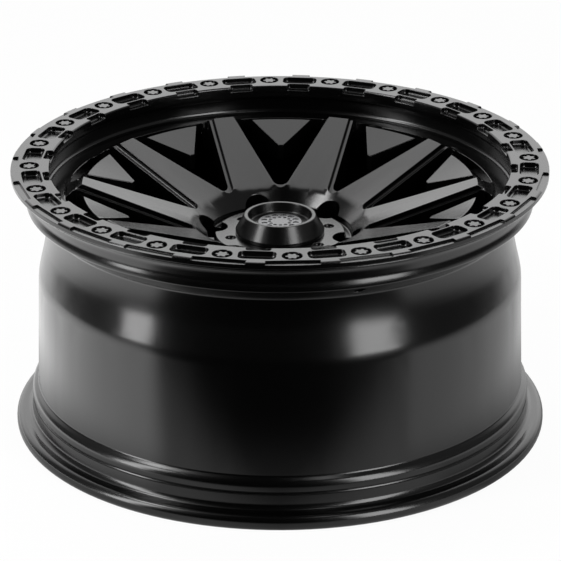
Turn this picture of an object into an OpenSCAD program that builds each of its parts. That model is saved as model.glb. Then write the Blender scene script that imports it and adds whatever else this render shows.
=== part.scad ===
// Forged wheel with a bolted ring on its outboard face, ten spokes and a centre cap.
// The hub's mounting face lies on z = 0, the axle runs along Z and the outboard face is up.
// The valve hole, one spoke, one lug hole and one ring bolt lie on the +X side.

/* [Rim] */
// Diameter of both bead seats
bead_seat_d = 512.8; // [508:0.2:518]
// Width between the two flanges, where the tyre beads sit
rim_width = 254.5; // [252:0.5:257]
// Offset of the mounting face from the middle of the rim, negative towards the vehicle
wheel_offset = -21; // [-25:1:-17]
// Height of the inboard flange above its bead seat
flange_h = 17.3; // [16:0.1:18]
// Height of the outboard flange above its bead seat
lip_h = 13.1; // [12.8:0.1:13.6]
// Thickness of the inboard flange, its curled edge included
flange_t = 15.4; // [14.4:0.1:16.4]
// Thickness of the outboard flange under the ring
lip_t = 2.5; // [2:0.5:4]
// Thickness of the outboard wall at its bead seat
lip_wall = 16.4; // [15.4:0.2:17.4]
// Wall of the barrel
barrel_wall = 5.8; // [5.2:0.2:6.6]
// Depth of the drop centre below the bead seats
drop_depth = 19.3; // [18.3:0.1:20.3]
// Depth of the barrel below the bead seats, next to the drop centre
barrel_depth = 9.4; // [8.8:0.1:10]
// Width of the inboard bead seat, from the flange to the groove at its hump
seat_w = 16; // [15:0.5:17]
// Width of the outboard bead seat, from the flange to its low hump
lip_seat_w = 15; // [14:0.2:16]
// Diameter of the valve hole
valve_d = 11.5; // [11:0.1:12]

/* [Bolted ring] */
// Number of ring bolts, and of the pockets between them
ring_bolts_n = 24; // [20:1:24]
// Thickness of the ring
ring_t = 7.5; // [7:0.5:8]
// Distance of the bolt circle inside the bead seat
bolt_inset = 3.3; // [3:0.1:3.6]
// Width of the ring inside the bolt circle
ring_in_w = 20.1; // [19.6:0.1:20.6]
// Width of the ring outside the bolt circle
ring_out_w = 18.9; // [18.5:0.1:19.3]
// Length of a face pocket along the ring
pocket_l = 36; // [30:1:37]
// Width of a face pocket across the ring
pocket_w = 19; // [16:0.5:19]
// Depth of the face pockets
pocket_h = 5.5; // [4:0.5:6]
// Length of an inner notch along the ring
notch_l = 24; // [18:1:28]
// Reach of an inner notch into the ring
notch_w = 7.2; // [5:0.2:7.6]
// Depth of the inner notches
notch_h = 5.5; // [4:0.5:6]
// Length of an outer step along the ring
step_l = 52; // [44:1:54]
// Reach of an outer step into the ring
step_w = 7.5; // [6:0.5:8]
// Depth of the outer steps
step_h = 2.1; // [1.5:0.1:3]

/* [Ring bolts] */
// Diameter of the bolt shanks
bolt_d = 6; // [5:0.5:6.5]
// Length of a bolt below its head
bolt_l = 10; // [9:0.5:10.5]
// Diameter of the flange of a bolt head
bolt_flange_d = 15; // [14:0.2:15.4]
// Width of the bolt heads across their points
bolt_point_d = 13; // [12:0.2:13.6]
// Diameter of the six notches between those points
bolt_notch_d = 3.6; // [3:0.2:4]
// Depth of the counterbores for the bolt heads
counterbore_h = 5; // [4.5:0.5:5.5]
// Clearance of the counterbores around the bolt heads
counterbore_gap = 2.3; // [1.7:0.1:2.5]

/* [Face] */
// Number of spokes, and of the windows between them
spokes_n = 10; // [9:1:10]
// Width of the shelf from the outboard wall to the windows
shelf_w = 22.5; // [21:0.5:24]
// Depth of the shelf below the ring face
shelf_drop = 31; // [29:0.5:33]
// Thickness of the shelf at the windows
shelf_t = 11.5; // [10:0.5:13]
// Distance from the windows' outer edge in to the ends of the spoke faces
spoke_setback = 17.5; // [16:0.5:19]
// Depth of the outer ends of the spoke faces below the ring face
spoke_end_drop = 21; // [19:0.5:23]
// Depth of the inner ends of the spoke faces below the ring face
hub_edge_drop = 60; // [58:0.5:62]
// Width of a spoke face at the rim
spoke_w = 22.2; // [20:0.2:24]
// Angle at which each edge of a spoke face widens towards the hub
spoke_flare = 5.86; // [5.2:0.02:6.4]
// Depth of the ledges beside the spoke faces
ledge_h = 6.2; // [5:0.2:7]
// Width of the ledges beside the spoke faces
ledge_w = 3.9; // [3.2:0.1:4.6]
// Depth of a spoke at the rim
spoke_h = 34; // [32:1:38]
// Depth of a spoke at the hub
spoke_root_h = 40; // [37:1:43]
// Thickness of a spoke over the channel in its back
spoke_t = 14; // [12:1:17]
// Width of that channel at the rim
channel_w = 16; // [12:1:18]
// Radius at the inner point of a window
window_r = 8.6; // [7.6:0.2:9.6]
// Radius at the outer corners of a window
window_corner_r = 10; // [8:0.5:12]

/* [Window pads] */
// Depth of a pad below the spoke faces
pad_drop = 5; // [4:0.2:6]
// Length of a pad from its outer corners to its point
pad_l = 38.6; // [34:0.2:42]
// Width of a pad at its outer corners
pad_w = 63.4; // [58:0.2:66]
// Width of a pad's blunt point
pad_tip_w = 5.2; // [4:0.2:7]
// Depth of the groove between a pad and the shelf
moat_h = 12.5; // [11:0.5:14]
// Depth of a pad's bridge below that groove
bridge_h = 14; // [12:1:15]
// Width of the bridge that carries a pad
bridge_w = 53; // [48:1:56]

/* [Hub] */
// Lug pattern diameter
lug_pcd = 139.7; // [139:0.1:140.4]
// Number of lug holes
lug_n = 6; // [5:1:6]
// Diameter of the lug pockets
lug_pocket_d = 29; // [28:0.5:30]
// Largest diameter of the conical lug seats
lug_cone_d = 24; // [22:0.5:26]
// Diameter of the stud holes
stud_hole_d = 15.2; // [14.2:0.2:16.2]
// Diameter of the weight saving holes between the lugs, bored from the back
relief_hole_d = 24; // [20:1:25]
// Depth of those holes
relief_hole_h = 42; // [34:1:46]
// Thickness of the hub under the lug pockets
lug_seat_t = 16; // [14:0.5:18]
// Diameter of the hub bore
hub_bore_d = 106.1; // [104:0.1:108]
// Depth of the hub bore
hub_bore_h = 28; // [24:1:32]
// Diameter of the mounting face
mount_d = 170; // [166:1:174]
// Radius of the hub's edge, where the spoke faces end
hub_edge_r = 91.5; // [90.5:0.5:92.5]
// Radius at the foot of the hub's conical wall
hub_foot_r = 74; // [73:0.5:75]
// Radius of the disc around the cap
disc_r = 66; // [65:0.5:67]
// Depth of the disc below the ring face
disc_drop = 76.5; // [75:0.5:78]
// Depth of the groove around the disc
disc_groove_h = 6.5; // [5:0.5:8]
// Diameter of the circle of tapped holes around the cap
tapped_pcd = 105; // [104.4:0.2:106]
// Diameter of the tapped holes
tapped_d = 6.8; // [6:0.2:7.4]
// Diameter of the counterbores over the tapped holes
tapped_cbore_d = 10.4; // [9.8:0.2:11]
// Depth of the tapped holes
tapped_h = 18; // [14:1:22]

/* [Centre cap] */
// Diameter of the cap's foot
cap_d = 90.8; // [89.6:0.2:92]
// Diameter of the cap's top rim
cap_top_d = 72.6; // [70:0.2:75]
// Height of the cap above the disc
cap_h = 19.2; // [17:0.2:21]
// Width of the cap's top rim
cap_rim_w = 3.6; // [3:0.2:4.2]
// Depth of the recess in the cap
cap_recess_h = 9.3; // [8:0.1:10.6]
// Wall of the cap
cap_wall = 2.4; // [2.2:0.1:2.6]
// Diameter of the hole that the cap snaps into
cap_hole_d = 82; // [81:0.2:83]
// Thickness of the land that the cap snaps behind
cap_land_h = 13.5; // [12:0.5:15]
// Diameter of the wire of the cap's retaining ring
wire_d = 2; // [1.8:0.1:2.2]
// Diameter of the badge plate
badge_d = 43.8; // [40:0.2:48]
// Thickness of the badge plate
badge_t = 1.6; // [1.2:0.1:2]

/* [Hidden] */
$fn = 96;

// Clearances
bolt_gap = 0.3;
thread_gap = 0.05;
head_gap = 0.3;
skirt_gap = 0.2;
wire_gap = 0.05;
// Overrun of a cut past the face that it opens on
over = 2;

// Heights above the mounting face
z_mid = -wheel_offset;
z_out = z_mid + rim_width / 2;
z_in = z_mid - rim_width / 2;
z_lip = z_out + lip_t;
z_face = z_lip + ring_t;
z_bottom = z_in - flange_t;
z_shelf = z_face - shelf_drop;
z_spoke_end = z_face - spoke_end_drop;
z_hub_edge = z_face - hub_edge_drop;
z_disc = z_face - disc_drop;
z_land = z_disc - cap_land_h;
z_moat = z_shelf - moat_h;
z_head = z_face - counterbore_h;
z_cap = z_disc + cap_h;
z_recess = z_cap - cap_recess_h;

// Radii
seat_r = bead_seat_d / 2;
flange_r = seat_r + flange_h;
lip_r = seat_r + lip_h;
lip_in_r = seat_r - lip_wall;
drop_r = seat_r - drop_depth;
barrel_r = seat_r - barrel_depth;
bolt_circle_r = seat_r - bolt_inset;
ring_in_r = bolt_circle_r - ring_in_w;
ring_out_r = bolt_circle_r + ring_out_w;
window_out_r = lip_in_r - shelf_w;
spoke_end_r = window_out_r - spoke_setback;
lug_r = lug_pcd / 2;
cap_hole_r = cap_hole_d / 2;

// Rim section
seat_taper = 5;
seat_fillet = 6.5;
lip_fillet = 11;
lip_round = 1.5;
edge_cut = 0.4;
lip_step_w = 4;
lip_step_h = 6;
shelf_fillet = 5;
shelf_dish = 1.5;
flange_round = 7.5;
flange_curl = 5.6;
hump_round = 2.5;
hump_h = 1.2;
hump_w = 4.5;
hump_groove_h = 0.65;
hump_groove_w = 1;
crest_round = 9;
ramp_a = 52;
ramp_foot_l = 2;
seat_wall = 7.6;
flange_edge_w = 12;
flare_turn = 34;
flare_l = 28;

// Low outboard hump and the wall below it, which holds the valve
lip_ramp_a = 14;
lip_ramp_l = 3.8;
lip_crest_l = 6;
valve_wall_a = 53;
valve_at = 0.41;
valve_cut_l = 36;
lip_seat_r = seat_r - (lip_seat_w - lip_fillet) * tan(seat_taper);
lip_ramp_r = lip_seat_r + lip_ramp_l * tan((lip_ramp_a - seat_taper) / 2);
lip_crest_r = lip_ramp_r + lip_crest_l * tan(lip_ramp_a / 2);
z_lip_ramp = z_out - lip_seat_w - lip_ramp_l;
z_lip_crest = z_lip_ramp - lip_crest_l;
wall_top = [lip_crest_r, z_lip_crest] - hump_round * [1 - cos(valve_wall_a), sin(valve_wall_a)];

// Drop centre, the cone that leads out of it and the straight barrel
drop_fillet = 4;
well_a = 13;
well_curve_l = 36.5;
barrel_curve_l = 13;
barrel_taper = 1.7;
barrel_grow = 3.3;
barrel_turn = well_a - barrel_taper;
wall_foot_r = drop_r + drop_fillet * (1 - cos(valve_wall_a));
wall_foot = [wall_foot_r, wall_top[1] - (wall_top[0] - wall_foot_r) / tan(valve_wall_a)];
z_drop = wall_foot[1] - drop_fillet * sin(valve_wall_a);
well_r = drop_r + well_curve_l * tan(well_a / 2);
z_well = z_drop - well_curve_l;
blend_r = barrel_r - barrel_curve_l * tan((well_a + barrel_taper) / 2);
z_blend = z_well - (blend_r - well_r) / tan(well_a);
z_barrel = z_blend - barrel_curve_l;
inner_r = drop_r - barrel_wall;
z_inner = z_shelf - spoke_h + barrel_wall;

// Inboard hump and the ramp that leads up to it from the barrel
in_seat_r = seat_r - (seat_w - seat_fillet) * tan(seat_taper);
z_seat = z_in + seat_w;
z_crest = z_seat + hump_groove_h + 2 * hump_groove_w;
hump_top = [in_seat_r + hump_h, z_crest + hump_w];
ramp_top = hump_top - crest_round * [1 - cos(ramp_a), -sin(ramp_a)];
ramp_r = barrel_r + barrel_grow;
ramp_foot_r = ramp_r + ramp_foot_l * tan((ramp_a + barrel_taper) / 2);
z_ramp_foot = ramp_top[1] + (ramp_top[0] - ramp_foot_r) / tan(ramp_a);
z_ramp = z_ramp_foot + ramp_foot_l;

// Hub and spoke section
mount_step_h = 30;
mount_step_w = 2;
root_w = 14;
relief_h = 8;
relief_lip = 1;
bridge_lap = 4;
bridge_bite = 1.2;
channel_in_r = 112;
channel_out_r = 207;
channel_grow = 1.5;
channel_r = 4;
land_relief = 3;
lug_cone_a = 30;
lug_cone_h = (lug_cone_d - stud_hole_d) / 2 / tan(lug_cone_a);
tapped_cbore_h = 3;

// Ring
ring_bevel = 1.2;
ring_round = 2.4;
seam_cut = 1.2;
pocket_r = 6;
pocket_web = 2;
notch_r = 3;
bolt_flange_h = 1.6;
bolt_points_n = 6;

// Windows: their sides run along the edges of the two spokes beside them
pitch_a = 360 / spokes_n;
window_a = pitch_a / 2 + spoke_flare;
edge_meet = spoke_w / 2 + spoke_end_r * tan(spoke_flare);
face_apex = edge_meet / (sin(pitch_a / 2) + cos(pitch_a / 2) * tan(spoke_flare));
window_apex = face_apex + ledge_w / sin(window_a);
ledge_r = window_r - 0.5;
face_slope = (z_spoke_end - z_hub_edge) / (spoke_end_r - hub_edge_r);

// Height of the spoke faces, which are turned as one cone, at radius r
function face_z(r) = z_spoke_end - face_slope * (spoke_end_r - r);

// Cap
cap_foot_h = 3.5;
finger_foot_l = 5;
skirt_l = cap_land_h + finger_foot_l;
skirt_r = cap_hole_r - skirt_gap;
skirt_slots_n = 6;
skirt_slot_w = 9;
wire_bite = 0.6;
wire_ring_r = cap_hole_r + wire_bite - wire_d / 2;
wire_split_a = 24;
badge_petals_n = 12;
badge_rim_w = 2.4;
badge_dish = 0.7;
badge_margin = 8.4;
petal_fill = 1.2;
inner_petal_at = 0.55;
inner_petal_share = 0.6;

// Points of the arc from p to q whose direction turns by a, to the left if a is positive
function bow(p, q, a, n = 8) =
  let (
    d = q - p,
    r = norm(d) / (2 * sin(a / 2)),
    h = atan2(d[1], d[0]) - a / 2
  )
  [for (i = [0 : n]) p + r * [sin(h + a * i / n) - sin(h), cos(h) - cos(h + a * i / n)]];

// Outer side of the outboard half of the rim, from the lip down to the drop centre
function rim_outboard() =
  concat(
    [[lip_r - edge_cut, z_lip], [lip_r, z_lip - edge_cut]],
    bow([lip_r, z_out + lip_round], [lip_r - lip_round, z_out], -90),
    bow([seat_r + lip_fillet, z_out], [seat_r, z_out - lip_fillet], 90, 12),
    bow([lip_seat_r, z_out - lip_seat_w], [lip_ramp_r, z_lip_ramp], lip_ramp_a + seat_taper, 4),
    bow([lip_ramp_r, z_lip_ramp], [lip_crest_r, z_lip_crest], -lip_ramp_a, 4),
    bow([lip_crest_r, z_lip_crest], wall_top, -valve_wall_a, 6),
    bow(wall_foot, [drop_r, z_drop], valve_wall_a, 6));

// Outer side of the inboard half of the rim, from the drop centre down to the flange's edge
function rim_inboard() =
  concat(
    bow([drop_r, z_drop], [well_r, z_well], well_a, 10),
    bow([blend_r, z_blend], [barrel_r, z_barrel], -barrel_turn),
    bow([ramp_r, z_ramp], [ramp_foot_r, z_ramp_foot], ramp_a - barrel_taper, 6),
    bow(ramp_top, hump_top, -ramp_a, 10),
    [[hump_top[0], z_crest]],
    [[in_seat_r - hump_groove_h, z_crest - hump_groove_w]],
    [[in_seat_r - hump_groove_h, z_seat + hump_groove_h]],
    [[in_seat_r, z_seat]],
    bow([seat_r, z_in + seat_fillet], [seat_r + seat_fillet, z_in], 90),
    bow([flange_r - flange_round, z_in], [flange_r, z_in - flange_round], -90),
    bow([flange_r, z_bottom + flange_curl], [flange_r - flange_curl, z_bottom], -90));

// Inner side of the rim and the back of the spokes, from the bottom up to the hub
function wheel_back() =
  concat(
    bow([flange_r - flange_edge_w, z_bottom], [seat_r - seat_wall, z_bottom + flare_l], -flare_turn),
    [[seat_r - seat_wall, z_crest]],
    [[ramp_r - barrel_wall, z_ramp]],
    bow([barrel_r - barrel_wall, z_barrel], [blend_r - barrel_wall, z_blend], barrel_turn),
    bow([well_r - barrel_wall, z_well], [inner_r, z_inner], -well_a, 10),
    [[inner_r - barrel_wall, z_spoke_end - spoke_h]],
    [[hub_edge_r + root_w, z_hub_edge - spoke_root_h]],
    [[mount_d / 2 + mount_step_w, mount_step_h], [mount_d / 2, 0]]);

// Section of the wheel as turned, before its windows and holes are cut
module wheel_section() {
  bore_r = hub_bore_d / 2;
  relief_r = cap_hole_r + land_relief;
  polygon(concat(
    [[bore_r, 0], [bore_r, hub_bore_h], [relief_r, hub_bore_h], [relief_r, z_land]],
    [[cap_hole_r, z_land], [cap_hole_r, z_disc]],
    [[disc_r, z_disc], [disc_r, z_disc - disc_groove_h]],
    [[hub_foot_r, z_disc - disc_groove_h], [hub_foot_r, z_disc], [hub_edge_r, z_hub_edge]],
    [[spoke_end_r, z_spoke_end], [window_out_r, z_shelf]],
    bow([lip_in_r - shelf_fillet, z_shelf - shelf_dish], [lip_in_r, z_shelf - shelf_dish + shelf_fillet], 90),
    [[lip_in_r, z_lip - lip_step_h - lip_step_w], [lip_in_r - lip_step_w, z_lip - lip_step_h]],
    [[lip_in_r - lip_step_w, z_lip]],
    rim_outboard(),
    rim_inboard(),
    wheel_back()));
}

// Outline of a wedge with a rounded point, from that point out past the rim
module wedge_outline(apex, r) {
  centre = [apex + r / sin(window_a), 0];
  touch = r * [cos(90 + window_a), sin(90 + window_a)];
  far = [seat_r * cos(window_a), seat_r * sin(window_a)];
  near = centre + touch;
  polygon(concat(
    bow(near, [near[0], -near[1]], 180 - 2 * window_a, 10),
    [[near[0] + far[0], -near[1] - far[1]], near + far]));
}

// Outline of a window, with its outer corners rounded
module window_outline() {
  // Centre of the circle that touches a side and the outer arc
  ring_r = window_out_r - window_corner_r;
  corner_a = window_a - asin((window_apex * sin(window_a) + window_corner_r) / ring_r);
  intersection() {
    wedge_outline(window_apex, window_r);
    union() {
      circle(r = ring_r);
      for (s = [-1, 1])
        rotate(s * corner_a)
          translate([ring_r, 0])
            circle(r = window_corner_r);
      polygon([
        [0, 0],
        2 * window_out_r * [cos(corner_a), -sin(corner_a)],
        2 * window_out_r * [cos(corner_a), sin(corner_a)]]);
    }
    circle(r = window_out_r);
  }
}

// One window through the face, widened under the shelf
module window_cut() {
  linear_extrude(height = z_face)
    window_outline();
  intersection() {
    linear_extrude(height = z_face)
      wedge_outline(window_apex, window_r);
    rotate_extrude()
      polygon([
        [window_out_r - over, z_inner - over],
        [window_out_r - over, z_shelf - shelf_t],
        [window_out_r, z_shelf - shelf_t],
        [inner_r - relief_lip, z_shelf - shelf_t - relief_h],
        [inner_r - relief_lip, z_inner - over]]);
  }
}

// The ledges of one window, cut down beside the two spoke faces
module ledge_cut() {
  far_r = window_out_r;
  intersection() {
    linear_extrude(height = z_face)
      wedge_outline(face_apex, ledge_r);
    rotate_extrude()
      polygon([
        [hub_foot_r + over, z_face],
        [hub_foot_r + over, face_z(hub_foot_r + over) - ledge_h],
        [far_r, face_z(far_r) - ledge_h],
        [far_r, z_face]]);
  }
}

// Channel milled into the back of a spoke
module channel_cut() {
  w_in = channel_w * channel_grow;
  intersection() {
    linear_extrude(height = z_face)
      polygon([
        [channel_in_r, -w_in / 2 + channel_r],
        [channel_in_r + channel_r, -w_in / 2],
        [channel_out_r, -channel_w / 2],
        [channel_out_r, channel_w / 2],
        [channel_in_r + channel_r, w_in / 2],
        [channel_in_r, w_in / 2 - channel_r]]);
    rotate_extrude()
      polygon([
        [channel_in_r - over, 0],
        [channel_in_r - over, face_z(channel_in_r - over) - spoke_t],
        [channel_out_r + over, face_z(channel_out_r + over) - spoke_t - over],
        [channel_out_r + over, 0]]);
  }
}

// A pad between two spokes, with the bridge that carries it
module window_pad() {
  corner_x = spoke_end_r * cos(asin(pad_w / 2 / spoke_end_r));
  tip_x = corner_x - pad_l;
  z_back = z_moat - bridge_h;
  intersection() {
    linear_extrude(height = z_face)
      polygon([
        [tip_x, pad_tip_w / 2],
        [tip_x, -pad_tip_w / 2],
        [corner_x, -pad_w / 2],
        [spoke_end_r, -pad_w / 2],
        [spoke_end_r, pad_w / 2],
        [corner_x, pad_w / 2]]);
    rotate_extrude()
      polygon([
        [tip_x - over, z_back],
        [spoke_end_r, z_back],
        [spoke_end_r, z_spoke_end - pad_drop],
        [tip_x - over, face_z(tip_x - over) - pad_drop]]);
  }
  translate([corner_x - bridge_lap, -bridge_w / 2, z_back])
    cube([inner_r + bridge_bite + bridge_lap - corner_x, bridge_w, bridge_h]);
}

// Valve hole, square to the sloping wall beside the outboard hump
module valve_cut() {
  at = wall_top + valve_at * (wall_foot - wall_top);
  translate([at[0], 0, at[1]])
    rotate([0, valve_wall_a - 90, 0])
      translate([0, 0, -over / 2])
        cylinder(d = valve_d, h = valve_cut_l);
}

// Pocket, conical seat and stud hole for one lug nut
module lug_cut() {
  translate([lug_r, 0, lug_seat_t])
    cylinder(d = lug_pocket_d, h = z_face);
  translate([lug_r, 0, lug_seat_t - lug_cone_h])
    cylinder(d1 = stud_hole_d, d2 = lug_cone_d, h = lug_cone_h);
  translate([lug_r, 0, -over])
    cylinder(d = stud_hole_d, h = lug_seat_t + 2 * over);
}

// Tapped hole with its counterbore, in the disc around the cap
module tapped_cut() {
  translate([tapped_pcd / 2, 0, z_disc - tapped_h])
    cylinder(d = tapped_d, h = tapped_h + over);
  translate([tapped_pcd / 2, 0, z_disc - tapped_cbore_h])
    cylinder(d = tapped_cbore_d, h = tapped_cbore_h + over);
}

// Copies of the children about the axle, the first at angle a
module around(n, a = 0) {
  for (i = [0 : n - 1])
    rotate([0, 0, a + 360 * i / n])
      children();
}

module wheel() {
  color([0.07, 0.07, 0.07])
    difference() {
      union() {
        difference() {
          rotate_extrude()
            wheel_section();
          around(spokes_n, pitch_a / 2)
            window_cut();
          around(spokes_n, pitch_a / 2)
            ledge_cut();
          around(spokes_n)
            channel_cut();
        }
        around(spokes_n, pitch_a / 2)
          window_pad();
      }
      around(lug_n)
        lug_cut();
      around(lug_n, 180 / lug_n)
        tapped_cut();
      around(lug_n, 180 / lug_n)
        translate([lug_r, 0, -over])
          cylinder(d = relief_hole_d, h = relief_hole_h + over);
      around(ring_bolts_n)
        translate([bolt_circle_r, 0, z_head - bolt_l - bolt_gap])
          cylinder(d = bolt_d + 2 * thread_gap, h = z_face);
      valve_cut();
    }
}

// Square-cornered slot outline of length l and width w, with its corners rounded by r
module slot_outline(l, w, r) {
  square([w - 2 * r, l], center = true);
  square([w, l - 2 * r], center = true);
  for (x = [-1, 1], y = [-1, 1])
    translate([x * (w / 2 - r), y * (l / 2 - r)])
      circle(r = r, $fn = 32);
}

module bead_ring() {
  pocket_mid_r = ring_in_r + notch_w + pocket_web + pocket_w / 2;
  between = 180 / ring_bolts_n;
  color([0.09, 0.09, 0.09])
    difference() {
      rotate_extrude()
        polygon(concat(
          [[ring_in_r, z_lip], [ring_out_r - seam_cut, z_lip], [ring_out_r, z_lip + seam_cut]],
          bow([ring_out_r, z_face - ring_round], [ring_out_r - ring_round, z_face], 90),
          [[ring_in_r + ring_bevel, z_face], [ring_in_r, z_face - ring_bevel]]));
      // Face pockets and inner notches between the bolts
      around(ring_bolts_n, between)
        translate([pocket_mid_r, 0, z_face - pocket_h])
          linear_extrude(height = ring_t)
            slot_outline(pocket_l, pocket_w, pocket_r);
      around(ring_bolts_n, between)
        translate([ring_in_r, 0, z_face - notch_h])
          linear_extrude(height = ring_t)
            slot_outline(notch_l, 2 * notch_w, notch_r);
      // Shallow steps in the outer edge at the bolts
      around(ring_bolts_n)
        translate([ring_out_r - step_w, -step_l / 2, z_face - step_h])
          cube([2 * step_w, step_l, ring_t]);
      // Counterbored bolt holes
      around(ring_bolts_n)
        translate([bolt_circle_r, 0, z_lip - over]) {
          cylinder(d = bolt_d + 2 * bolt_gap, h = 2 * ring_t);
          translate([0, 0, over + ring_t - counterbore_h])
            cylinder(d = bolt_flange_d + 2 * counterbore_gap, h = ring_t);
        }
    }
}

module ring_bolts() {
  head_h = counterbore_h - head_gap;
  color([0.14, 0.14, 0.15])
    around(ring_bolts_n)
      translate([bolt_circle_r, 0, z_head]) {
        translate([0, 0, -bolt_l])
          cylinder(d = bolt_d, h = bolt_l + bolt_flange_h);
        cylinder(d = bolt_flange_d, h = bolt_flange_h);
        difference() {
          cylinder(d = bolt_point_d, h = head_h);
          around(bolt_points_n)
            translate([bolt_point_d / 2, 0, bolt_flange_h])
              cylinder(d = bolt_notch_d, h = head_h, $fn = 32);
        }
      }
}

module centre_cap() {
  foot_r = cap_d / 2;
  top_r = cap_top_d / 2;
  z_foot = z_disc + cap_foot_h;
  z_under = z_recess - cap_wall;
  floor_r = badge_d / 2 + badge_margin;
  skirt_in_r = skirt_r - cap_wall;
  color([0.06, 0.06, 0.06])
    difference() {
      rotate_extrude()
        polygon([
          [0, z_under],
          [floor_r + cap_wall / 2, z_under],
          [skirt_in_r, z_disc],
          [skirt_in_r, z_disc - skirt_l],
          [skirt_r, z_disc - skirt_l],
          [skirt_r, z_disc],
          [foot_r, z_disc],
          [foot_r, z_foot],
          [top_r, z_cap],
          [top_r - cap_rim_w, z_cap],
          [floor_r, z_recess],
          [0, z_recess]]);
      // Groove for the retaining ring
      rotate_extrude()
        translate([wire_ring_r, z_land - wire_d / 2 - wire_gap])
          circle(d = wire_d + 2 * wire_gap, $fn = 32);
      // Slots that part the skirt into snap fingers
      around(skirt_slots_n, 180 / skirt_slots_n)
        translate([skirt_in_r - over, -skirt_slot_w / 2, z_disc - skirt_l - over])
          cube([cap_wall + 2 * over, skirt_slot_w, skirt_l]);
    }
}

// Bare round plate with a ring of shallow petals, in the cap's recess
module cap_badge() {
  plate_r = badge_d / 2;
  field_r = plate_r - badge_rim_w;
  petal_d = field_r * sin(180 / badge_petals_n) * petal_fill;
  color([0.62, 0.63, 0.65])
    translate([0, 0, z_recess])
      difference() {
        cylinder(r = plate_r, h = badge_t);
        around(badge_petals_n)
          translate([field_r - petal_d / 2, 0, badge_t - badge_dish])
            cylinder(d = petal_d, h = badge_t, $fn = 32);
        around(badge_petals_n, 180 / badge_petals_n)
          translate([field_r * inner_petal_at, 0, badge_t - badge_dish])
            cylinder(d = petal_d * inner_petal_share, h = badge_t, $fn = 32);
      }
}

// Split ring of spring wire that holds the cap's fingers behind the land
module cap_retaining_ring() {
  color([0.5, 0.5, 0.52])
    translate([0, 0, z_land - wire_d / 2 - wire_gap])
      rotate([0, 0, wire_split_a / 2])
        rotate_extrude(angle = 360 - wire_split_a)
          translate([wire_ring_r, 0])
            circle(d = wire_d, $fn = 32);
}

wheel();
bead_ring();
ring_bolts();
centre_cap();
cap_badge();
cap_retaining_ring();
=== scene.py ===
"""A satin black forged wheel lying on its inboard flange, in a studio that is white to the camera.

The wheel reflects another surrounding than the camera sees: bright behind, dim at the sides and
dark ahead. Lengths are in millimetres until they are scaled by MM, where no comment says metres.
The wheel's axle is the Z axis, and the plane of its hub's mounting face is z = 0.
"""
import math

import bmesh
import bpy
from mathutils import Matrix, Vector


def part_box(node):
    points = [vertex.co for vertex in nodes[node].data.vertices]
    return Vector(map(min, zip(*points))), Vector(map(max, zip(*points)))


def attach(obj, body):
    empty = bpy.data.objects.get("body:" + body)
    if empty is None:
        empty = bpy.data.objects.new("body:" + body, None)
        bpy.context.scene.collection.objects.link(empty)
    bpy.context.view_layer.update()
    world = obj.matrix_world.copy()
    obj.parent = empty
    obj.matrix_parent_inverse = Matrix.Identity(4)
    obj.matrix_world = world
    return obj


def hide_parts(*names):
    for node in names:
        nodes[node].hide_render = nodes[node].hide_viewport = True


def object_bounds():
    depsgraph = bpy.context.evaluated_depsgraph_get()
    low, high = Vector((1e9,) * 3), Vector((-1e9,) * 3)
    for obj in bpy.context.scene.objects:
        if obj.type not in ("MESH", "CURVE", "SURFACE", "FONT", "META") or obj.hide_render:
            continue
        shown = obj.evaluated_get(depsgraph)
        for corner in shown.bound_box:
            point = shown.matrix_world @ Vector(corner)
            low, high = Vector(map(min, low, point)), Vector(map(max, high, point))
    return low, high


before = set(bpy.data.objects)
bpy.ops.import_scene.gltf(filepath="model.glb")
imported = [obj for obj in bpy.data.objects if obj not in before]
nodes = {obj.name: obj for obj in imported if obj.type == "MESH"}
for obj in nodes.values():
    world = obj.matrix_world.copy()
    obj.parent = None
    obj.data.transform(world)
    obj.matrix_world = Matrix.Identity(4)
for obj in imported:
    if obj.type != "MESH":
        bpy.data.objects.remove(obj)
cad_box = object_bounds()
scene = bpy.context.scene

MM = 0.001
FACE_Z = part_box("bead_ring")[1][2] / MM
FLOOR_Z = cad_box[0][2] / MM


# Materials

# Depths of the bumps are in metres, and the scales of the noise count per metre
COAT_IOR = 1.5
PEEL_STRENGTH = 0.25
PEEL_DETAIL = 3.0
PEEL_ROUGHNESS = 0.55
CLOUD_SCALE = 14.0
CLOUD_DETAIL = 4.0
CLOUD_RANGE = (0.35, 0.65)
TURNING_STRENGTH = 0.3
TURNING_DETAIL = 2.0
TURNING_DEPTH = 0.00002
TURNING_RANGE = (0.3, 0.7)
TURNING_SPREAD = 0.05


def material(name, color, roughness, metallic=0.0):
    """A Principled material whose constant values sit on the shader's own sockets."""
    mat = bpy.data.materials.new(name)
    mat.use_nodes = True
    shader = mat.node_tree.nodes["Principled BSDF"]
    shader.inputs["Base Color"].default_value = (*color, 1)
    shader.inputs["Roughness"].default_value = roughness
    shader.inputs["Metallic"].default_value = metallic
    shader.inputs["IOR"].default_value = COAT_IOR
    return mat, shader


def add_node(tree, kind, **inputs):
    """A node of this kind, with its named input sockets set."""
    node = tree.nodes.new(kind)
    for name, value in inputs.items():
        node.inputs[name.replace("_", " ")].default_value = value
    return node


def remap(tree, source, low, high, to_low, to_high, smooth=False):
    """The source value carried from the range low to high into the range to_low to to_high."""
    node = add_node(tree, "ShaderNodeMapRange", From_Min=low, From_Max=high, To_Min=to_low, To_Max=to_high)
    if smooth:
        node.interpolation_type = "SMOOTHSTEP"
    tree.links.new(source, node.inputs["Value"])
    return node.outputs["Result"]


def calc(tree, operation, a, b):
    """The result of a math node, where b is a socket or a number."""
    node = tree.nodes.new("ShaderNodeMath")
    node.operation = operation
    tree.links.new(a, node.inputs[0])
    if isinstance(b, (int, float)):
        node.inputs[1].default_value = b
    else:
        tree.links.new(b, node.inputs[1])
    return node.outputs[0]


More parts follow.
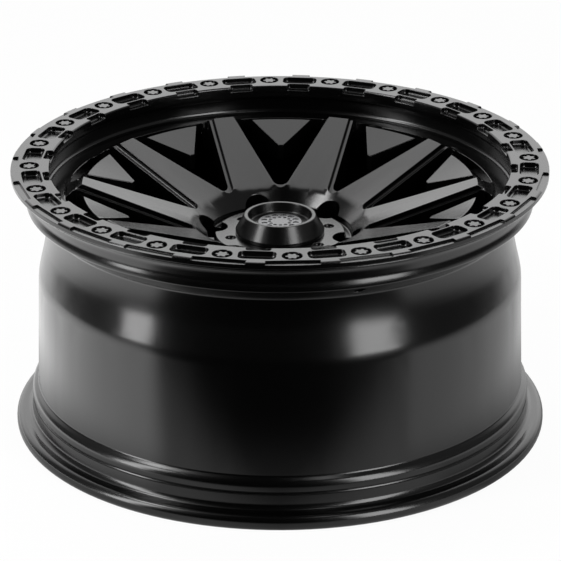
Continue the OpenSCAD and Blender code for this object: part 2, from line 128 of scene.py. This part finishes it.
def blend(tree, share, a, b):
    """The mix of two sockets, all b where share is 1."""
    node = tree.nodes.new("ShaderNodeMix")
    node.data_type = "FLOAT"
    for socket, source in ((0, share), (2, a), (3, b)):
        tree.links.new(source, node.inputs[socket])
    return node.outputs[0]


def along(tree, place, azimuth):
    """How far a place lies towards this azimuth from the camera's."""
    node = tree.nodes.new("ShaderNodeVectorMath")
    node.operation = "DOT_PRODUCT"
    node.inputs[1].default_value = polar(1 / MM, azimuth, 0)
    tree.links.new(place, node.inputs[0])
    return node.outputs["Value"]


def coated(name, color, roughness, spread, grain, depth):
    """A satin coat or skin: fine orange peel in its bump, and slow changes in its roughness."""
    mat, shader = material(name, color, roughness)
    tree = mat.node_tree
    place = tree.nodes.new("ShaderNodeTexCoord").outputs["Object"]
    peel = add_node(tree, "ShaderNodeTexNoise", Scale=grain, Detail=PEEL_DETAIL, Roughness=PEEL_ROUGHNESS)
    bump = add_node(tree, "ShaderNodeBump", Strength=PEEL_STRENGTH, Distance=depth)
    tree.links.new(place, peel.inputs["Vector"])
    tree.links.new(peel.outputs["Fac"], bump.inputs["Height"])
    tree.links.new(bump.outputs["Normal"], shader.inputs["Normal"])
    cloud = add_node(tree, "ShaderNodeTexNoise", Scale=CLOUD_SCALE, Detail=CLOUD_DETAIL)
    tree.links.new(place, cloud.inputs["Vector"])
    level = remap(tree, cloud.outputs["Fac"], *CLOUD_RANGE, roughness - spread, roughness + spread)
    tree.links.new(level, shader.inputs["Roughness"])
    return mat


def turned(name, color, roughness, rings):
    """Metal turned on a lathe: fine rings about the axle in its bump and in its roughness."""
    mat, shader = material(name, color, roughness, metallic=1.0)
    tree = mat.node_tree
    place = tree.nodes.new("ShaderNodeTexCoord").outputs["Object"]
    parts = tree.nodes.new("ShaderNodeSeparateXYZ")
    tree.links.new(place, parts.inputs[0])
    across = calc(tree, "MULTIPLY", parts.outputs["X"], parts.outputs["X"])
    along_y = calc(tree, "MULTIPLY", parts.outputs["Y"], parts.outputs["Y"])
    reach = calc(tree, "SQRT", calc(tree, "ADD", across, along_y), 0.0)
    ring = add_node(tree, "ShaderNodeTexNoise", Scale=rings, Detail=TURNING_DETAIL)
    ring.noise_dimensions = "1D"
    tree.links.new(reach, ring.inputs["W"])
    bump = add_node(tree, "ShaderNodeBump", Strength=TURNING_STRENGTH, Distance=TURNING_DEPTH)
    tree.links.new(ring.outputs["Fac"], bump.inputs["Height"])
    tree.links.new(bump.outputs["Normal"], shader.inputs["Normal"])
    level = remap(tree, ring.outputs["Fac"], *TURNING_RANGE,
                  roughness - TURNING_SPREAD, roughness + TURNING_SPREAD)
    tree.links.new(level, shader.inputs["Roughness"])
    return mat


satin_black = coated("satin_black_coat", (0.0007, 0.0007, 0.0007), roughness=0.20, spread=0.004,
                     grain=900, depth=0.00003)
ring_black = coated("ring_black_coat", (0.0007, 0.0007, 0.0007), roughness=0.20, spread=0.004,
                    grain=900, depth=0.00003)
bolt_black = coated("black_oxide_steel", (0.003, 0.003, 0.003), roughness=0.22, spread=0.02,
                    grain=1600, depth=0.00003)
cap_black = coated("satin_black_plastic", (0.002, 0.002, 0.002), roughness=0.26, spread=0.01,
                   grain=1200, depth=0.00002)
badge_silver = turned("turned_badge", (0.16, 0.16, 0.165), roughness=0.3, rings=2500)
spring_steel = turned("drawn_spring_wire", (0.5, 0.5, 0.5), roughness=0.3, rings=9000)


# Pieces

# WELD is in metres, the angles are in degrees, and a share is a part of the rounding's width
WELD = 0.000002
SHARP_ANGLE = 24
FLAT_ANGLE = 0.5
FLATS_WEIGHT = 80
POCKET_DEEP = 5.3
STEP_REACH = 262
WHEEL_OUTER_SHARE = 0.35
RING_STEP_SHARE = 0.12
RING_OUTER_SHARE = 0.27
RING_HOLLOW_SHARE = 0.5
CAP_OUTER_SHARE = 0.6


def wheel_share(edge):
    """Narrow on outer edges, full in hollow ones."""
    return WHEEL_OUTER_SHARE if edge.is_convex else 1.0


def ring_share(edge):
    """Full in the pockets' deep corners, small at the thin outer steps."""
    if max(vert.co.xy.length for vert in edge.verts) > STEP_REACH * MM:
        return RING_STEP_SHARE
    if edge.is_convex:
        return RING_OUTER_SHARE
    top = max(vert.co.z for vert in edge.verts)
    return RING_HOLLOW_SHARE if top > (FACE_Z - POCKET_DEEP) * MM else 1.0


def bolt_share(edge):
    """The same on every sharp edge of a bolt."""
    return 1.0


def cap_share(edge):
    """Narrower on outer edges, full in hollow ones."""
    return CAP_OUTER_SHARE if edge.is_convex else 1.0


def rounded(node, coat, merge, width, share_of, segments):
    """A copy of a CAD node that stands for it, its sharp edges rounded over share_of times the width.

    Its normals lean to those of its large faces, so that the spokes and pads reflect without streaks.
    """
    mesh = nodes[node].data.copy()
    mesh.name = node + "_rounded"
    bm = bmesh.new()
    bm.from_mesh(mesh)
    bmesh.ops.remove_doubles(bm, verts=bm.verts, dist=WELD)
    bmesh.ops.dissolve_limit(bm, angle_limit=math.radians(FLAT_ANGLE), verts=bm.verts, edges=bm.edges)
    bmesh.ops.remove_doubles(bm, verts=bm.verts, dist=merge * MM)
    bmesh.ops.dissolve_degenerate(bm, dist=merge * MM / 2, edges=bm.edges)
    share = bm.edges.layers.float.new("bevel_weight_edge")
    for edge in bm.edges:
        if edge.is_manifold and edge.calc_face_angle(0) > math.radians(SHARP_ANGLE):
            edge[share] = share_of(edge)
    for face in bm.faces:
        face.smooth = True
    bm.to_mesh(mesh)
    bm.free()
    mesh.materials.clear()
    mesh.materials.append(coat)
    piece = bpy.data.objects.new(node + "_visual", mesh)
    scene.collection.objects.link(piece)
    bevel = piece.modifiers.new("rounded_edges", "BEVEL")
    bevel.limit_method = "WEIGHT"
    bevel.width = width * MM
    bevel.segments = segments
    bevel.use_clamp_overlap = False
    flats = piece.modifiers.new("flat_faces", "WEIGHTED_NORMAL")
    flats.mode = "FACE_AREA_WITH_ANGLE"
    flats.weight = FLATS_WEIGHT
    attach(piece, "root")
    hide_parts(node)
    return piece


def paint(node, coat):
    """A coat on a CAD node's own mesh."""
    mesh = nodes[node].data
    mesh.materials.clear()
    mesh.materials.append(coat)


for painted, coat in (("wheel", satin_black), ("bead_ring", ring_black), ("ring_bolts", bolt_black),
                      ("centre_cap", cap_black), ("cap_badge", badge_silver),
                      ("cap_retaining_ring", spring_steel)):
    paint(painted, coat)
rounded("wheel", satin_black, merge=0.1, width=2.0, share_of=wheel_share, segments=3)
rounded("bead_ring", ring_black, merge=0.1, width=2.2, share_of=ring_share, segments=3)
rounded("ring_bolts", bolt_black, merge=0.05, width=0.5, share_of=bolt_share, segments=2)
rounded("centre_cap", cap_black, merge=0.1, width=1.0, share_of=cap_share, segments=3)


# Studio

CAMERA_AZIMUTH = -17.6
CAMERA_REACH = 2980.2
CAMERA_RISE = 1112.6
CAMERA_PITCH = 22.6437
CAMERA_YAW = 0.0104
CAMERA_ROLL = -0.028
FOCAL_PX = 3142.19
PHOTO_PX = 561
SENSOR = 36
CLIP_END_M = 50

# Azimuths in the studio are counted from the camera, to the right of the picture
BOX_REACH = 2050
BOX_TOP = 2300
LEFT_BOX_AZIMUTH = -65
LEFT_BOX_WIDTH = 520
LEFT_BOX_WHITE = 9.5
RIGHT_BOX_AZIMUTH = 41.5
RIGHT_BOX_WIDTH = 760
RIGHT_BOX_WHITE = 7.5
HIGH_BOX_REACH = 1500
HIGH_BOX_SIZE = 560
LEFT_HIGH_AZIMUTH = -86
LEFT_HIGH_RISE = 2300
LEFT_HIGH_WHITE = 14
RIGHT_HIGH_AZIMUTH = 38
RIGHT_HIGH_RISE = 3800
RIGHT_HIGH_WHITE = 3
BACK_LOW_WHITE = 1.4
BACK_HIGH_WHITE = 2.05
BACK_TOP_SHARE = 0.78
SIDE_LOW_WHITE = 0.06
SIDE_HIGH_WHITE = 0.2
FLOOR_RADIUS = 30000
FLOOR_SEGMENTS = 64
FLOOR_COLOR = (0.9, 0.9, 0.9)
FLOOR_ROUGHNESS = 0.9
FLOOR_GLOW = 0.95
CARD_RADIUS = 20000
CARD_LIFT = 1

# The world as the object sees it: each pair is where a change starts and ends, as the height or the
# heading of a direction of length 1, and a heading is 1 towards the camera and -1 away from it
BACK_HEADING = (-0.45, -0.85)
BACK_RISE = (0.14, 0.31)
BACK_TOP_RISE = (0.42, 0.6)
SIDE_HEADING = (0.6, 0.35)
SIDE_RISE = (0.05, 0.2)
LEAST_LEVEL = 0.001

# The floor in reflections, painted as a glowing card: first the glow strengths of its painted light, then
# the edges of its light and painted shade. A heading is as above, and 1 at the right in SIDES. A reach
# is a distance in metres from the axle, or a distance less a share of that sideways.
LEFT_FLOOR_WHITE = 2.2
LEFT_BACK_WHITE = 1.0
RIGHT_FLOOR_WHITE = 1.12
RIGHT_BACK_WHITE = 0.9
NEAR_SHARE = 0.3
NEAR_BACK_SHARE = 0.8
FAR_SHARE = 0.05
FRONT_SPILL = 0.8
FAR_SPILL = 0.22
SPILL_SPREAD = 0.75
DARK_START = 0.2
DARK_SPREAD = 0.48
DARK_SOFT = 0.06
SIDES = (-0.3, 0.3)
LEFT_HEADING = (-0.2, -0.9)
RIGHT_HEADING = (-0.1, -0.9)
NEAR_BACK_HEADING = (-0.4, -0.8)
FAR_HEADING = (-0.35, -0.6)
SPILL_HEADING = (0.5, 0.8)
UNDER_REACH = (0.255, 0.27)
NEAR_REACH = (0.27, 0.42)
FAR_REACH = (0.7, 1.3)
SPILL_REACH = (0.2, 0.4)
SPILL_END_REACH = (0.6, 0.9)
FAR_SPILL_REACH = (0.3, 0.52)


def polar(radius, azimuth, z):
    """A point at this radius and azimuth from the camera's, in metres."""
    a = math.radians(CAMERA_AZIMUTH + azimuth)
    return Vector((radius * math.cos(a), radius * math.sin(a), z)) * MM


def add_camera():
    """The camera at the photo's place."""
    data = bpy.data.cameras.new("photo_camera")
    data.sensor_width = SENSOR
    data.lens = FOCAL_PX / PHOTO_PX * SENSOR
    data.clip_end = CLIP_END_M
    camera = bpy.data.objects.new("photo_camera", data)
    camera.location = polar(CAMERA_REACH, 0, FACE_Z + CAMERA_RISE)
    heading = Matrix.Rotation(math.radians(CAMERA_AZIMUTH + 90 - CAMERA_YAW), 4, "Z")
    pitch = Matrix.Rotation(math.radians(90 - CAMERA_PITCH), 4, "X")
    roll = Matrix.Rotation(math.radians(CAMERA_ROLL), 4, "Z")
    camera.rotation_euler = (heading @ pitch @ roll).to_euler()
    scene.collection.objects.link(camera)
    scene.camera = camera


def add_lamp(name, place, width, height, white):
    """A box lamp at this place, as bright as white says, before it is turned to the wheel."""
    data = bpy.data.lights.new(name, "AREA")
    data.shape = "RECTANGLE"
    data.size = width * MM
    data.size_y = height * MM
    data.energy = white * math.pi * data.size * data.size_y
    lamp = bpy.data.objects.new(name, data)
    lamp.location = place
    return lamp


def add_softbox(name, azimuth, width, white):
    """A tall box lamp that stands on the floor."""
    lamp = add_lamp(name, polar(BOX_REACH, azimuth, FLOOR_Z + BOX_TOP / 2), width, BOX_TOP, white)
    lamp.rotation_euler = polar(-1, azimuth, 0).to_track_quat("-Z", "Y").to_euler()
    scene.collection.objects.link(lamp)


def add_high_box(name, azimuth, rise, white):
    """A box lamp high above the floor, turned down to the hub."""
    place = polar(HIGH_BOX_REACH, azimuth, rise)
    lamp = add_lamp(name, place, HIGH_BOX_SIZE, HIGH_BOX_SIZE, white)
    lamp.rotation_euler = (-place).to_track_quat("-Z", "Y").to_euler()
    scene.collection.objects.link(lamp)


def add_floor():
    """A floor that is plain white to the camera and keeps the shadow. The card covers its reflection."""
    bm = bmesh.new()
    bmesh.ops.create_circle(bm, cap_ends=True, radius=FLOOR_RADIUS * MM, segments=FLOOR_SEGMENTS)
    bmesh.ops.translate(bm, vec=(0, 0, FLOOR_Z * MM), verts=bm.verts)
    mesh = bpy.data.meshes.new("studio_floor")
    bm.to_mesh(mesh)
    bm.free()
    mat, shader = material("floor_white", FLOOR_COLOR, FLOOR_ROUGHNESS)
    shader.inputs["Specular IOR Level"].default_value = 0
    mat.cycles.emission_sampling = "NONE"
    tree = mat.node_tree
    path = tree.nodes.new("ShaderNodeLightPath")
    glow = add_node(tree, "ShaderNodeEmission", Color=(1, 1, 1, 1), Strength=1.0)
    seen = calc(tree, "MAXIMUM", path.outputs["Is Camera Ray"], path.outputs["Is Glossy Ray"])
    seen = calc(tree, "MAXIMUM", seen, path.outputs["Is Transmission Ray"])
    mix = tree.nodes.new("ShaderNodeMixShader")
    tree.links.new(calc(tree, "MULTIPLY", seen, FLOOR_GLOW), mix.inputs["Fac"])
    tree.links.new(shader.outputs[0], mix.inputs[1])
    tree.links.new(glow.outputs[0], mix.inputs[2])
    tree.links.new(mix.outputs[0], tree.nodes["Material Output"].inputs["Surface"])
    mesh.materials.append(mat)
    floor = bpy.data.objects.new("studio_floor", mesh)
    scene.collection.objects.link(floor)


def add_floor_card():
    """A glowing card seen only in reflections, a painted reflection of the floor: dark ahead of the wheel,
    painted light at its sides and behind it, painted shade close around and under its foot, and a spill in
    front.
    """
    bm = bmesh.new()
    bmesh.ops.create_circle(bm, cap_ends=True, radius=CARD_RADIUS * MM, segments=FLOOR_SEGMENTS)
    bmesh.ops.translate(bm, vec=(0, 0, (FLOOR_Z + CARD_LIFT) * MM), verts=bm.verts)
    mesh = bpy.data.meshes.new("reflected_floor")
    bm.to_mesh(mesh)
    bm.free()
    mat, shader = material("reflected_floor", (0, 0, 0), 1.0)
    shader.inputs["Specular IOR Level"].default_value = 0
    shader.inputs["Emission Color"].default_value = (1, 1, 1, 1)
    mat.cycles.emission_sampling = "NONE"
    tree = mat.node_tree
    place = tree.nodes.new("ShaderNodeTexCoord").outputs["Object"]
    ahead = along(tree, place, 0)
    right = along(tree, place, 90)
    aside = calc(tree, "ABSOLUTE", right, 0.0)
    reach = calc(tree, "SQRT", calc(tree, "ADD", calc(tree, "MULTIPLY", ahead, ahead),
                                    calc(tree, "MULTIPLY", right, right)), 0.0)
    turn = calc(tree, "DIVIDE", ahead, reach)
    left_white = remap(tree, turn, *LEFT_HEADING, LEFT_FLOOR_WHITE, LEFT_BACK_WHITE)
    right_white = remap(tree, turn, *RIGHT_HEADING, RIGHT_FLOOR_WHITE, RIGHT_BACK_WHITE)
    share = remap(tree, calc(tree, "DIVIDE", right, reach), *SIDES, 0, 1, smooth=True)
    white = blend(tree, share, left_white, right_white)
    edge = calc(tree, "SUBTRACT", ahead, calc(tree, "MULTIPLY", aside, DARK_SPREAD))
    lit = remap(tree, edge, DARK_START - DARK_SOFT, DARK_START + DARK_SOFT, 1, 0, smooth=True)
    # Painted shade: the glow drops to NEAR_SHARE close around the wheel's foot, less so behind it.
    near_shade = calc(tree, "MAXIMUM", remap(tree, reach, *NEAR_REACH, NEAR_SHARE, 1, smooth=True),
                remap(tree, turn, *NEAR_BACK_HEADING, 0, NEAR_BACK_SHARE, smooth=True))
    # Painted shade: no glow under the wheel, inside its flange.
    under_shade = remap(tree, reach, *UNDER_REACH, 0, 1, smooth=True)
    far = calc(tree, "MAXIMUM", remap(tree, reach, *FAR_REACH, 1, FAR_SHARE, smooth=True),
               remap(tree, turn, *FAR_HEADING, 0, 1, smooth=True))
    shade = calc(tree, "MULTIPLY", calc(tree, "MULTIPLY", lit, near_shade),
                 calc(tree, "MULTIPLY", white, far))
    # Painted light: a spill of light on the floor in front of the wheel, fading with reach.
    bowed = calc(tree, "SUBTRACT", reach, calc(tree, "MULTIPLY", aside, SPILL_SPREAD))
    spill = calc(tree, "MULTIPLY", remap(tree, bowed, *SPILL_REACH, FRONT_SPILL, 0, smooth=True),
                 remap(tree, reach, *SPILL_END_REACH, 1, 0, smooth=True))
    spill = calc(tree, "MAXIMUM", spill,
                 remap(tree, reach, *FAR_SPILL_REACH, FAR_SPILL, 0, smooth=True))
    spill = calc(tree, "MULTIPLY", spill, remap(tree, turn, *SPILL_HEADING, 0, 1, smooth=True))
    glow = calc(tree, "MULTIPLY", calc(tree, "MAXIMUM", shade, spill), under_shade)
    tree.links.new(glow, shader.inputs["Emission Strength"])
    mesh.materials.append(mat)
    card = bpy.data.objects.new("reflected_floor", mesh)
    card.visible_camera = False
    card.visible_diffuse = False
    card.visible_shadow = False
    scene.collection.objects.link(card)


def add_world():
    """White for the camera. The object sees a bright back, dim sides and a dark front."""
    world = bpy.data.worlds.new("studio")
    scene.world = world
    world.use_nodes = True
    tree = world.node_tree
    way = tree.nodes.new("ShaderNodeTexCoord").outputs["Generated"]
    parts = tree.nodes.new("ShaderNodeSeparateXYZ")
    tree.links.new(way, parts.inputs[0])
    rise = calc(tree, "MULTIPLY", parts.outputs["Z"], parts.outputs["Z"])
    level = calc(tree, "SQRT", calc(tree, "MAXIMUM", remap(tree, rise, 0, 1, 1, 0), LEAST_LEVEL), 0.0)
    ahead = calc(tree, "DIVIDE", along(tree, way, 0), level)
    back = remap(tree, ahead, *BACK_HEADING, 0, 1, smooth=True)
    up = parts.outputs["Z"]
    high = remap(tree, up, *BACK_RISE, BACK_LOW_WHITE, BACK_HIGH_WHITE, smooth=True)
    top = remap(tree, up, *BACK_TOP_RISE, 1, BACK_TOP_SHARE, smooth=True)
    back = calc(tree, "MULTIPLY", back, top)
    side = calc(tree, "MULTIPLY", remap(tree, ahead, *SIDE_HEADING, 0, 1, smooth=True),
                remap(tree, up, *SIDE_RISE, SIDE_LOW_WHITE, SIDE_HIGH_WHITE, smooth=True))
    light = calc(tree, "MAXIMUM", calc(tree, "MULTIPLY", back, high), side)
    path = tree.nodes.new("ShaderNodeLightPath")
    seen = tree.nodes.new("ShaderNodeMix")
    seen.data_type = "FLOAT"
    tree.links.new(path.outputs["Is Camera Ray"], seen.inputs[0])
    tree.links.new(light, seen.inputs[2])
    seen.inputs[3].default_value = 1.0
    sky = tree.nodes["Background"]
    sky.inputs["Color"].default_value = (1, 1, 1, 1)
    tree.links.new(seen.outputs[0], sky.inputs["Strength"])


add_camera()
add_world()
add_floor()
add_softbox("left_softbox", LEFT_BOX_AZIMUTH, LEFT_BOX_WIDTH, LEFT_BOX_WHITE)
add_softbox("right_softbox", RIGHT_BOX_AZIMUTH, RIGHT_BOX_WIDTH, RIGHT_BOX_WHITE)
add_floor_card()
add_high_box("left_high_box", LEFT_HIGH_AZIMUTH, LEFT_HIGH_RISE, LEFT_HIGH_WHITE)
add_high_box("right_high_box", RIGHT_HIGH_AZIMUTH, RIGHT_HIGH_RISE, RIGHT_HIGH_WHITE)

scene.view_settings.view_transform = "Standard"
